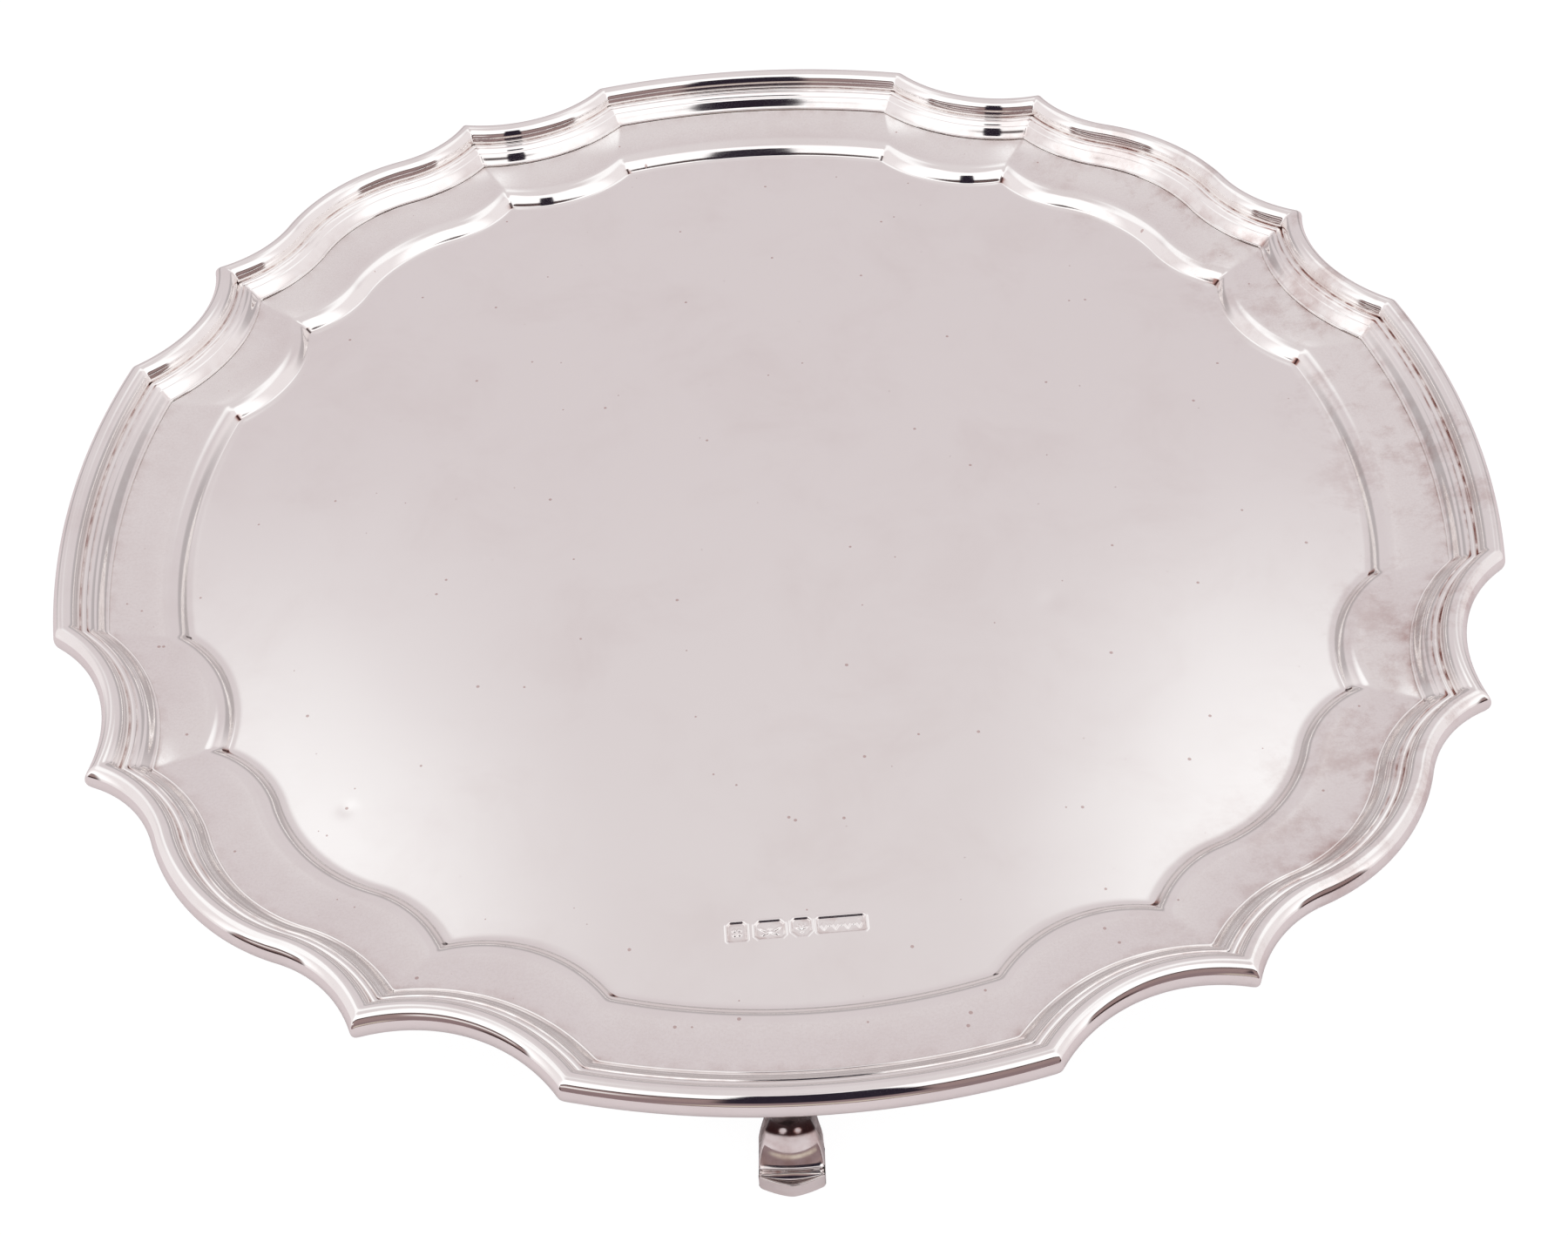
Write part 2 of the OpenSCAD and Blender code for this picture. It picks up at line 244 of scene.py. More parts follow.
def softened(points, sigma):
    """The closed ring with its corners rounded by a running average along its length."""
    closed = np.vstack([points, points[:1]])
    run = np.concatenate([[0], np.cumsum(np.linalg.norm(np.diff(closed, axis=0), axis=1))])
    even = np.linspace(0, run[-1], EVEN_COUNT, endpoint=False)
    damping = np.exp(-2 * (math.pi * sigma * np.fft.rfftfreq(EVEN_COUNT, run[-1] / EVEN_COUNT)) ** 2)
    columns = []
    for axis in (0, 1):
        spectrum = np.fft.rfft(np.interp(even, run, closed[:, axis])) * damping
        smooth = np.fft.irfft(spectrum, EVEN_COUNT)
        columns.append(np.interp(run[:-1], even, smooth, period=run[-1]))
    return np.column_stack(columns)


# ------------------------------------------------------------------ mesh helpers


def smoothstep(low, high, x):
    t = np.clip((np.asarray(x, float) - low) / (high - low), 0, 1)
    return t * t * (3 - 2 * t)


def bend(start, pull, end, count):
    """Points of a parabola-like bend from one point to another, pulled towards a third."""
    t = np.linspace(0, 1, count)[:, None]
    return (1 - t) ** 2 * np.array(start) + 2 * t * (1 - t) * np.array(pull) + t**2 * np.array(end)


def strip_faces(rows, columns, closed_columns=False):
    """Quads over a grid of vertices, row by row."""
    row = np.arange(rows - 1)
    column = np.arange(columns if closed_columns else columns - 1)
    r, c = (grid.ravel() for grid in np.meshgrid(row, column, indexing="ij"))
    here, below = r * columns, (r + 1) * columns
    after = (c + 1) % columns
    return np.column_stack([here + c, below + c, below + after, here + after])


def add_piece(node, points, faces, material, attributes=(), sharp_angle=50):
    """A smooth-shaded mesh object that rides on the root body and stands for a CAD node."""
    name = "polished_" + node
    mesh = bpy.data.meshes.new(name)
    mesh.from_pydata([tuple(p) for p in points], [], [tuple(int(i) for i in f) for f in faces])
    mesh.polygons.foreach_set("use_smooth", [True] * len(mesh.polygons))
    mesh.set_sharp_from_angle(angle=math.radians(sharp_angle))
    for key, values in dict(attributes).items():
        layer = mesh.attributes.new(key, "FLOAT", "POINT")
        layer.data.foreach_set("value", np.asarray(values, np.float32))
    mesh.materials.append(material)
    mesh.validate()
    piece = bpy.data.objects.new(name, mesh)
    bpy.context.scene.collection.objects.link(piece)
    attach(piece, "root")
    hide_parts(node)
    return piece


# ------------------------------------------------------------------ materials


class Graph:
    """Short ways to add and link shader nodes."""

    def __init__(self, tree):
        self.tree = tree
        tree.nodes.clear()

    def node(self, kind, inputs=(), **settings):
        made = self.tree.nodes.new(kind)
        for key, value in settings.items():
            setattr(made, key, value)
        for key, value in dict(inputs).items():
            socket = made.inputs[key]
            if isinstance(value, bpy.types.NodeSocket):
                self.tree.links.new(value, socket)
            else:
                socket.default_value = value
        return made

    def math(self, operation, a, b=0.0, clamp=False):
        made = self.node("ShaderNodeMath", {0: a, 1: b}, operation=operation, use_clamp=clamp)
        return made.outputs[0]

    def ramp(self, value, low, high, to_low=0.0, to_high=1.0):
        inputs = {0: value, 1: low, 2: high, 3: to_low, 4: to_high}
        return self.node("ShaderNodeMapRange", inputs, interpolation_type="SMOOTHSTEP").outputs[0]

    def mix(self, share, a, b):
        made = self.node("ShaderNodeMix", {"Factor": share}, data_type="RGBA")
        for socket, value in ((made.inputs[6], a), (made.inputs[7], b)):
            if isinstance(value, bpy.types.NodeSocket):
                self.tree.links.new(value, socket)
            else:
                socket.default_value = value
        return made.outputs[2]

    def noise(self, vector, scale, detail=2.0, roughness=0.5, distortion=0.0):
        inputs = {"Vector": vector, "Scale": scale, "Detail": detail}
        inputs |= {"Roughness": roughness, "Distortion": distortion}
        return self.node("ShaderNodeTexNoise", inputs).outputs[0]

    def mapped(self, vector, rotation=(0, 0, 0), scale=(1, 1, 1)):
        inputs = {"Vector": vector, "Rotation": rotation, "Scale": scale}
        return self.node("ShaderNodeMapping", inputs).outputs[0]

    def vector(self, operation, a, b=(0, 0, 0)):
        return self.node("ShaderNodeVectorMath", {0: a, 1: b}, operation=operation)

    def attribute(self, name):
        return self.node("ShaderNodeAttribute", attribute_name=name).outputs["Fac"]


def rgba(r, g, b):
    return (r, g, b, 1.0)


BRIGHT_SILVER = rgba(0.965, 0.945, 0.93)
TARNISH = rgba(0.44, 0.25, 0.22)
# Near black, for deep tarnish and for painted dark reflections
DEEP_TARNISH_AND_PAINTED_DARK = rgba(0.035, 0.012, 0.012)


# Directions of the polishing lines, in degrees, and how closely they lie
POLISHING = ((20, 1.0), (75, 0.8), (131, 1.2), (164, 0.9))
LINE_STRETCH = 0.05
LINES_PER_MM = 4.0
LINE_ROUGHNESS = 0.16
TARNISH_ROUGHNESS = 0.22
PIT_CELLS_PER_MM = 0.16
LARGEST_PIT = 0.048


def silver(name, roughness, scratch, cloud, speck):
    """Hand-polished sterling silver: fine scratches, cloudy thin tarnish and pits.

    The mesh attributes are frost, 1 where the polish is matt, and the tarnish and painted dark, from
    0 on open metal through 1 in a tarnished groove to 2 where black is painted, as painted dark
    reflections in corners and on the feet's necks.
    """
    material = bpy.data.materials.new(name)
    material.use_nodes = True
    g = Graph(material.node_tree)
    place = g.node("ShaderNodeTexCoord").outputs["Object"]
    millimetres = g.mapped(place, scale=(1000, 1000, 1000))

    # Fine polishing lines in several directions, each stretched noise on a slightly bent path
    drift = g.node("ShaderNodeTexNoise", {"Vector": millimetres, "Scale": 0.03, "Detail": 1.0})
    drift = g.vector("MULTIPLY", drift.outputs["Color"], (5, 5, 5)).outputs[0]
    bent = g.vector("ADD", millimetres, drift).outputs[0]
    lines = 0.0
    for angle, closeness in POLISHING:
        stretch = (LINE_STRETCH, LINES_PER_MM * closeness, 1.0)
        along = g.mapped(bent, rotation=(0, 0, math.radians(angle)), scale=stretch)
        lines = g.math("ADD", g.noise(along, 1.0, detail=3.0, roughness=0.65), lines)
    lines = g.math("MULTIPLY", lines, 1 / len(POLISHING))

    clouds = g.noise(millimetres, 0.045, detail=5.0, roughness=0.6, distortion=0.4)
    grain = g.noise(millimetres, 2.2, detail=4.0, roughness=0.7)
    cloud_share = g.ramp(clouds, 0.42, 0.9)

    recess = g.attribute("recess")
    frost = g.attribute("frost")
    grime_and_painted_dark = g.math("MULTIPLY", recess, g.ramp(g.noise(millimetres, 0.35, detail=4.0), 0.35, 0.7))

    # The right-hand side of the rim is more tarnished, in blotches
    x = g.node("ShaderNodeSeparateXYZ", {0: millimetres}).outputs["X"]
    outward = g.vector("LENGTH", millimetres).outputs["Value"]
    blotches = g.ramp(g.noise(millimetres, 0.08, detail=7.0, roughness=0.7), 0.47, 0.68)
    stain = g.math("MULTIPLY", g.ramp(x, 30.0, 105.0, 0.12), blotches)
    stain = g.math("MULTIPLY", stain, g.ramp(outward, 94.0, 116.0, 0.0, 0.38))
    grime_and_painted_dark = g.math("MULTIPLY", grime_and_painted_dark, g.ramp(x, 20.0, 110.0, 1.0, 2.2))

    cells = {"Vector": millimetres, "Scale": PIT_CELLS_PER_MM}
    pits = g.node("ShaderNodeTexVoronoi", cells, voronoi_dimensions="2D", feature="F1")
    pit_size = g.ramp(g.noise(millimetres, 0.13, detail=0.0), 0.55, 0.78, 0.0, LARGEST_PIT)
    pit_share = g.math("LESS_THAN", pits.outputs["Distance"], pit_size)

    tarnish = g.math("ADD", g.math("MULTIPLY", cloud_share, cloud), stain)
    tarnish = g.math("ADD", tarnish, g.math("MULTIPLY", grime_and_painted_dark, 0.75))
    matt = g.math("MULTIPLY", frost, g.ramp(grain, 0.35, 0.7, 0.01, 0.08))
    tarnish = g.math("ADD", tarnish, matt)
    tarnish = g.math("ADD", tarnish, g.math("MULTIPLY", pit_share, speck), clamp=True)
    colour = g.mix(tarnish, BRIGHT_SILVER, TARNISH)
    # Black where painted: painted dark reflections in the corners and on the feet's necks, and deep
    # tarnish
    colour = g.mix(g.ramp(recess, 1.0, 2.0), colour, DEEP_TARNISH_AND_PAINTED_DARK)

    streaks = g.math("MULTIPLY", g.math("SUBTRACT", lines, 0.5), LINE_ROUGHNESS)
    rough = g.math("ADD", roughness, streaks)
    rough = g.math("ADD", rough, g.math("MULTIPLY", tarnish, TARNISH_ROUGHNESS))
    frosted = g.math("MULTIPLY", frost, g.ramp(grain, 0.3, 0.75, 0.0, 0.09))
    rough = g.math("ADD", rough, frosted, clamp=True)

    bump = g.node("ShaderNodeBump", {"Strength": 0.35, "Distance": scratch, "Height": lines})
    fine = {"Strength": 0.3, "Distance": scratch * 0.3, "Height": grain, "Normal": bump.outputs[0]}
    normal = g.node("ShaderNodeBump", fine).outputs[0]
    surface = {"Base Color": colour, "Metallic": 1.0, "Roughness": rough, "Normal": normal}
    shader = g.node("ShaderNodeBsdfPrincipled", surface)
    g.node("ShaderNodeOutputMaterial", {"Surface": shader.outputs[0]})
    return material


SHEET_SILVER = silver("sheet_silver", roughness=0.075, scratch=0.0012 * MM, cloud=0.10, speck=0.55)
BORDER_SILVER = silver("border_silver", roughness=0.055, scratch=0.0010 * MM, cloud=0.12, speck=0.0)
# The feet's cloudy tarnish is set heavier, partly as tarnish and partly as a painted mauve reflection
# on the legs
FOOT_SILVER = silver("foot_silver", roughness=0.06, scratch=0.0010 * MM, cloud=0.35, speck=0.0)

# ------------------------------------------------------------------ cast border

CORNER_SOFTNESS = 0.30 * MM
# How much darker the grooves are painted in the corners, a painted dark reflection over their tarnish
CORNER_PAINTED_DARK = 2.5

# The cross-section's steps and half sizes as (in, up), and its sweeps in degrees
ROLL_SWEEP = (262, -14)
ROLL_STEPS = 64
ROLL_FLAT = 0.025
GROOVE_STEP = mm(0.06, -0.05)
REED_STEP = mm(0.57, -0.05)
REED_HALF = mm(0.52, 0.34)
REED_SWEEP = (165, 14)
QUIRK_STEP = mm(0.07, -0.06)
BAND_STEP = mm(0.18, 0.08)
BAND_SAG = mm(0.45, -0.25)
BAND_DROP = 0.85 * MM
BAND_END = mm(-0.08, 0.03)
COVE_WIDTH = 1.5 * MM
COVE_STEPS = 16
LIP_WIDTH = 0.35 * MM
LIP_HEIGHT = 0.32 * MM
LIP_STEP = mm(0.13, -0.14)
LIP_HALF = mm(0.2, 0.2)
LIP_FACE = 0.1 * MM
SEAT_INSET = 0.3 * MM


def ellipse_points(centre, half, sweep, count):
    """Points of an ellipse over a sweep of angles."""
    angles = np.radians(np.linspace(*sweep, count))
    return centre + half * np.column_stack([np.cos(angles), np.sin(angles)])


def border_profile():
    """Cross-section as (inset, height over the roll's centre, tarnish), in order round it."""
    seat = SEAT_Z - ROLL_Z
    roll = ellipse_points((0, 0), (ROLL_WIDTH / 2, ROLL_HEIGHT / 2), ROLL_SWEEP, ROLL_STEPS)
    outer = np.radians(np.clip(np.linspace(*ROLL_SWEEP, ROLL_STEPS) - 90, 0, 90))
    roll *= 1 - ROLL_FLAT * np.sin(2 * outer)[:, None] ** 2
    groove = roll[-1] + GROOVE_STEP
    reed = ellipse_points(groove + REED_STEP, REED_HALF, REED_SWEEP, 14)
    quirk = reed[-1] + QUIRK_STEP
    band_from = quirk + BAND_STEP
    cove_to = np.array([BORDER_REACH - LIP_WIDTH, seat + LIP_HEIGHT])
    cove_from = np.array([cove_to[0] - COVE_WIDTH, band_from[1] - BAND_DROP])
    band = bend(band_from, band_from + BAND_SAG, cove_from + BAND_END, 6)
    share = np.linspace(0, 1, COVE_STEPS)
    fall = 0.5 * share + 0.5 * smoothstep(0, 1, share)
    cove = cove_from + (cove_to - cove_from) * np.column_stack([share, fall])
    lip = ellipse_points(cove_to + LIP_STEP, LIP_HALF, (100, 0), 6)
    foot = np.array([[BORDER_REACH, seat + LIP_FACE], [BORDER_REACH, seat], [SEAT_INSET, seat]])
    parts = [
        (roll, [0.0] * (len(roll) - 3) + [0.1, 0.3, 0.6]),
        (groove[None], [0.8]),
        (reed, [0.4, 0.1] + [0.0] * (len(reed) - 4) + [0.1, 0.4]),
        (quirk[None], [0.5]),
        (band, [0.2] + [0.0] * (len(band) - 1)),
        (cove, np.linspace(0, 0.2, len(cove))),
        (lip, [0.0] * len(lip)),
        (foot, [0.1] * len(foot)),
    ]
    return np.vstack([np.column_stack([points, recess]) for points, recess in parts])


PROFILE = border_profile()
PROFILE_RINGS = [softened(ring(BORDER_LINE, inset), CORNER_SOFTNESS) for inset in PROFILE[:, 0]]
PROFILE_CORE = mm(1.5, -2.2)
CORE_RING = softened(ring(BORDER_LINE, PROFILE_CORE[0]), CORNER_SOFTNESS)


def add_border(node, first_arc, arcs):
    """One cast length along a run of arcs, closed at both mitres."""
    first = ARC_STARTS[first_arc % ARC_COUNT]
    count = sum(BORDER_LINE[(first_arc + i) % ARC_COUNT].steps for i in range(arcs)) + 1
    stations = (first + np.arange(count)) % STATIONS
    size = len(PROFILE)
    points = np.zeros((count, size, 3))
    for k in range(size):
        points[:, k, :2] = PROFILE_RINGS[k][stations]
        points[:, k, 2] = ROLL_Z + PROFILE[k, 1]
    ends = [(*CORE_RING[s], ROLL_Z + PROFILE_CORE[1]) for s in (stations[0], stations[-1])]
    vertices = np.vstack([points.reshape(-1, 3), ends])
    start_core, end_core = len(vertices) - 2, len(vertices) - 1
    faces = strip_faces(count, size, closed_columns=True)[:, ::-1].tolist()
    last = (count - 1) * size
    for k in range(size):
        after = (k + 1) % size
        faces.append((after, k, start_core))
        faces.append((last + k, last + after, end_core))
    # The grooves' tarnish, painted darker at the corners as a painted dark reflection
    corner = CORNERS[stations][:, None]
    recess = np.concatenate([(PROFILE[:, 2] * (1 + CORNER_PAINTED_DARK * corner)).ravel(), [0, 0]])
    return add_piece(node, vertices, faces, BORDER_SILVER, {"recess": recess})


for side, label in enumerate(SIDES):
    add_border("border_side_" + label, 6 * side - 1, 3)
for bracket, label in enumerate(BRACKETS):
    add_border("border_bracket_" + label, 6 * bracket + 2, 3)

# ------------------------------------------------------------------ raised sheet

FLANGE_STAGES = 10
FLANGE_SOFTNESS = 0.5 * MM
# How far the flange's outer end lies under the border
UNDER_BORDER = 0.3 * MM
FIELD_GRID = 2.4 * MM
KNOCK_GRID = 0.35 * MM
# The sheet's under side takes one in this many of the upper side's rings
UNDER_SKIP = 3
# Tarnish at the border's edge, and painted dark reflections in its corners there and in the corners
# of the step's foot
EDGE_GRIME = 0.3
EDGE_CORNER_PAINTED_DARK = 0.8
STEP_CORNER_PAINTED_DARK = 1.9
STEP_CORNER_WIDTH = 0.8 * MM


def step_profile():
    """The step as (inset, z): a round shoulder, a face that steepens and a short fillet."""
    field = np.array([0, FIELD_Z])
    shoulder_top = np.array([-SHOULDER_WIDTH, SHOULDER_Z])
    shoulder_pull = (0, SHOULDER_Z) + mm(-1.05, -0.3)
    brow = field + mm(-0.35, 1.5)
    base = field + mm(0.50, 0.35)
    shoulder = bend(shoulder_top, shoulder_pull, brow, 10)
    face = bend(brow, field + mm(0.15, 0.93), base, 8)
    fillet = bend(base, field + mm(0.71, 0), field + (FILLET_WIDTH, 0), 12)
    return np.vstack([shoulder, face[1:], fillet[1:]])


def level_ring(line, inset, z):
    points = softened(ring(line, inset), FLANGE_SOFTNESS)
    return np.column_stack([points, np.full(len(points), z)])


def upper_rings():
    """Rings of the upper face from the edge in, and each one's frost, tarnish and painted dark
    reflection in the corners.
    """
    rings = [level_ring(BORDER_LINE, SHEET_EDGE, SEAT_Z)]
    looks = [(0, 0, 0)]
    start = level_ring(BORDER_LINE, BORDER_REACH - UNDER_BORDER, SEAT_Z)
    end = level_ring(STEP_LINE, -SHOULDER_WIDTH, SHOULDER_Z)
    for share in np.linspace(0, 1, FLANGE_STAGES, endpoint=False):
        between = start + share * (end - start)
        between[:, 2] -= FLANGE_DISH * 4 * share * (1 - share)
        rings.append(between)
        edge = max(0.0, EDGE_GRIME * (1 - 4 * share))
        looks.append((1, edge, max(0.0, EDGE_CORNER_PAINTED_DARK - 6 * share)))
    for inset, z in step_profile():
        rings.append(level_ring(STEP_LINE, inset, z))
        looks.append((0, 0, STEP_CORNER_PAINTED_DARK * float(0 < inset < STEP_CORNER_WIDTH)))
    return rings, looks


# The row of punched marks: generic devices in four sunk cartouches, in millimetres
MARKS_AT = mm(-0.5, -92.95)
MARKS_TURN = math.radians(1.6)
MARKS_HALF = mm(11.6, 2.4)
MARKS_GRID = 0.08 * MM
MARK_DEPTH = 0.26 * MM
MARK_EDGE = 0.13
BURR = 0.035 * MM
BURR_AT = 2.2 * MARK_EDGE
DEVICE_RISE = 0.20 * MM
MARK_GRIME = 0.55


class Mark(NamedTuple):
    """A cartouche's centre and corners, and its raised discs and lozenges as (u, v, a, b, turn)."""

    centre: tuple
    corners: tuple
    discs: tuple
    lozenges: tuple


def cartouche(half_width, half_height, top_cut, low_cut):
    w, h = half_width, half_height
    return (
        (-w, low_cut - h), (low_cut - w, -h), (w - low_cut, -h), (w, low_cut - h),
        (w, h - top_cut), (w - top_cut, h), (top_cut - w, h), (-w, h - top_cut),
    )


def petals(angles, reach, half, low=0.0):
    """Discs or leaves round a point, each pointing away from it; angles in degrees from up."""
    turns = [(math.sin(math.radians(a)), math.cos(math.radians(a)), -a) for a in angles]
    return tuple((reach * u, reach * v - low, *half, turn) for u, v, turn in turns)


FOIL = petals((45, 135, 225, 315), 0.5, (0.34, 0.34))
FAN = petals((-60, -20, 20, 60), 0.55, (0.2, 0.5), low=0.35)
LEAVES = ((-1.05, 0.1, 150), (1.05, 0.1, 30), (-0.6, -0.55, 205), (0.6, -0.55, -25))
SPRAY = tuple((u, v, 0.72, 0.24, turn) for u, v, turn in LEAVES)
ROW = tuple((u, 0, 0.55, 0.85, 0) for u in (-2.7, -0.9, 0.9, 2.7))
ROW_PELLETS = tuple((u, 0, 0.2, 0.2, 0) for u in (-1.8, 0, 1.8))
MARKS = (
    Mark((-9.2, -0.02), cartouche(1.42, 1.6, 0.45, 0.2), FOIL, ((0, 0, 0.3, 0.3, 0),)),
    Mark((-4.2, 0.0), cartouche(2.2, 1.5, 0.6, 0.5), SPRAY, ((0, 0.25, 0.35, 0.75, 0),)),
    Mark((0.6, 0.0), cartouche(1.42, 1.5, 0.4, 0.8), FAN, ((0, -0.7, 0.25, 0.25, 0),)),
    Mark((6.65, 0.0), cartouche(3.65, 1.35, 0.25, 0.25), ROW_PELLETS, ROW),
)

# Knocks in the field, in millimetres: x, y, radius and depth
KNOCKS = (
    (19.2, 44.5, 2.2, 0.045),
    (-71.6, -66.5, 2.0, 0.050),
    (-6.5, -61.2, 2.4, 0.040),
    (47.0, -30.0, 3.0, 0.030),
)
# The hammered field's slow waves: length in millimetres, direction in degrees, phase, height
WAVES = ((46, 20, 0.4, 0.018), (63, 75, 2.1, 0.026), (38, 128, 4.0, 0.012), (84, 160, 1.2, 0.034))


def turned(points, angle):
    c, s = math.cos(angle), math.sin(angle)
    return points @ np.array([[c, s], [-s, c]])


def outline_distance(points, corners):
    """Distance of points from a closed outline, negative inside it."""
    nearest = np.full(len(points), np.inf)
    inside = np.zeros(len(points), bool)
    x, y = points.T
    corners = np.array(corners, float)
    for a, b in zip(corners, np.roll(corners, -1, axis=0)):
        along = b - a
        share = np.clip((points - a) @ along / (along @ along), 0, 1)
        nearest = np.minimum(nearest, np.linalg.norm(points - a - share[:, None] * along, axis=1))
        crosses = (a[1] > y) != (b[1] > y)
        if a[1] != b[1]:
            inside ^= crosses & (x < a[0] + (y - a[1]) * along[0] / along[1])
    return np.where(inside, -nearest, nearest)


def shape_distance(points, shape, lozenge):
    """Roughly the distance in millimetres from a disc or lozenge, negative inside it."""
    u, v, a, b, turn = shape
    local = turned(points - (u, v), -math.radians(turn)) / (a, b)
    size = np.abs(local).sum(axis=1) if lozenge else np.linalg.norm(local, axis=1)
    return (size - 1) * min(a, b)


def marks_relief(points):
    """Height and tarnish of the marks at points of their own plane."""
    height, recess = np.zeros(len(points)), np.zeros(len(points))
    for mark in MARKS:
        local = points / MM - mark.centre
        gap = outline_distance(local, mark.corners)
        sunk = 1 - smoothstep(-MARK_EDGE, MARK_EDGE, gap)
        height += BURR * np.exp(-(((gap - BURR_AT) / MARK_EDGE) ** 2)) - MARK_DEPTH * sunk
        shapes = [shape_distance(local, shape, False) for shape in mark.discs]
        shapes += [shape_distance(local, shape, True) for shape in mark.lozenges]
        raised = 1 - smoothstep(-0.12, 0.08, np.min(shapes, axis=0))
        height += DEVICE_RISE * raised * sunk
        recess += MARK_GRIME * sunk * (1 - raised) * smoothstep(-0.9, -0.1, gap)
    return height, recess


def field_lift(points):
    """Height of the field's slow waves and knocks over its true plane."""
    x, y = points.T / MM
    lift = np.zeros(len(points))
    for length, direction, phase, height in WAVES:
        along = x * math.cos(math.radians(direction)) + y * math.sin(math.radians(direction))
        lift += height * np.sin(2 * math.pi * along / length + phase)
    lift *= 1 - smoothstep(75, 92, np.hypot(x, y))
    for knock_x, knock_y, radius, depth in KNOCKS:
        lift -= depth * np.exp(-2 * ((x - knock_x) ** 2 + (y - knock_y) ** 2) / radius**2)
    return lift * MM


def marks_grid():
    columns, rows = (np.round(2 * MARKS_HALF / MARKS_GRID).astype(int) + 1).tolist()
    v, u = np.meshgrid(np.linspace(-1, 1, rows), np.linspace(-1, 1, columns), indexing="ij")
    return rows, columns, np.column_stack([u.ravel(), v.ravel()]) * MARKS_HALF


def hex_grid(centre, reach, spacing):
    """A triangular grid of points that covers a square about a centre."""
    count = int(reach / spacing) + 1
    row, column = np.mgrid[-count : count + 1, -count : count + 1]
    grid = np.column_stack([(column + 0.5 * (row % 2)).ravel(), (row * math.sqrt(3) / 2).ravel()])
    return grid * spacing + centre


def field_points(boundary):
    """Points inside the boundary ring: a coarse grid, with finer ones over the knocks."""
    grid = hex_grid((0, 0), np.abs(boundary).max(), FIELD_GRID)
    for knock_x, knock_y, radius, _ in KNOCKS:
        centre, reach = mm(knock_x, knock_y), 1.6 * radius * MM
        fine = hex_grid(centre, reach, KNOCK_GRID)
        grid = grid[np.linalg.norm(grid - centre, axis=1) > reach + 0.3 * FIELD_GRID]
        grid = np.vstack([grid, fine[np.linalg.norm(fine - centre, axis=1) < reach]])
    angle = np.arctan2(boundary[:, 1], boundary[:, 0])
    order = np.argsort(angle)
    distance = np.linalg.norm(boundary[order], axis=1)
    limit = np.interp(np.arctan2(grid[:, 1], grid[:, 0]), angle[order], distance, period=2 * math.pi)
    grid = grid[np.linalg.norm(grid, axis=1) < limit - 0.8 * FIELD_GRID]
    beside = np.abs(turned(grid - MARKS_AT, -MARKS_TURN)) - MARKS_HALF
    return grid[beside.max(axis=1) > 0.4 * MM]


def add_sheet():
    rings, looks = upper_rings()
    lower_picks = [*range(0, len(rings) - 1, UNDER_SKIP), len(rings) - 1]
    boundary = rings[-1][:, :2]

    # The field is meshed round the marks, whose own fine grid fills the gap on the upper face
    rows, columns, marks = marks_grid()
    cell = np.arange(rows * columns).reshape(rows, columns)
    rim = np.concatenate([cell[0, :-1], cell[:-1, -1], cell[-1, :0:-1], cell[:0:-1, 0]])
    placed = turned(marks, MARKS_TURN) + MARKS_AT
    flat = np.vstack([boundary, placed[rim], field_points(boundary)])
    loops = [(i, (i + 1) % STATIONS) for i in range(STATIONS)]
    loops += [(STATIONS + i, STATIONS + (i + 1) % len(rim)) for i in range(len(rim))]
    made, _, triangles, _, _, _ = delaunay_2d_cdt([Vector(p) for p in flat], loops, [], 1, 1e-9)
    triangles = np.array(triangles)
    field = np.array(made)[STATIONS:]
    field = np.column_stack([field, FIELD_Z + field_lift(field)])
    upper = np.vstack([*rings, field])
    lower = np.vstack([*(rings[k] for k in lower_picks), field]) - (0, 0, SHEET)
    upper_edge_at = (len(rings) - 1) * STATIONS
    lower_edge_at = len(upper) + (len(lower_picks) - 1) * STATIONS
    relief, relief_recess = marks_relief(marks)
    within = np.setdiff1d(cell, rim)
    filling = np.column_stack([placed, FIELD_Z + field_lift(placed) + relief])[within]
    vertices = np.vstack([upper, lower, filling])

    number = np.zeros(rows * columns, int)
    number[rim] = len(rings) * STATIONS + np.arange(len(rim))
    number[within] = len(upper) + len(lower) + np.arange(len(within))
    number = number.reshape(rows, columns)
    corners = (number[:-1, :-1], number[:-1, 1:], number[1:, 1:], number[1:, :-1])
    patch = np.stack(corners, axis=-1).reshape(-1, 4)

    under = len(upper)
    upper_bands = strip_faces(len(rings), STATIONS, closed_columns=True)[:, ::-1]
    lower_bands = strip_faces(len(lower_picks), STATIONS, closed_columns=True) + under
    around = np.arange(STATIONS)
    after = (around + 1) % STATIONS
    edge = np.column_stack([around, after, after + under, around + under])[:, ::-1]
    middles = turned(flat[triangles].mean(axis=1) - MARKS_AT, -MARKS_TURN)
    open_field = triangles[(np.abs(middles) > MARKS_HALF).any(axis=1)] + upper_edge_at
    under_field = triangles[:, ::-1] + lower_edge_at
    faces = []
    for group in (upper_bands, lower_bands, edge, patch, open_field, under_field):
        faces += group.tolist()

    frost = [np.full(STATIONS, look[0]) for look in looks]
    # Tarnish at the border's edge, with painted dark reflections in the corners
    recess = [look[1] + look[2] * CORNERS for look in looks]
    plain = np.zeros(len(field))
    looks = {"frost": (frost, np.zeros(len(within))), "recess": (recess, relief_recess[within])}
    attributes = {}
    for key, (values, filled) in looks.items():
        picked = [values[k] for k in lower_picks]
        attributes[key] = np.concatenate([*values, plain, *picked, plain, filled])
    return add_piece("tray_sheet", vertices, faces, SHEET_SILVER, attributes)


add_sheet()

# ------------------------------------------------------------------ cast feet


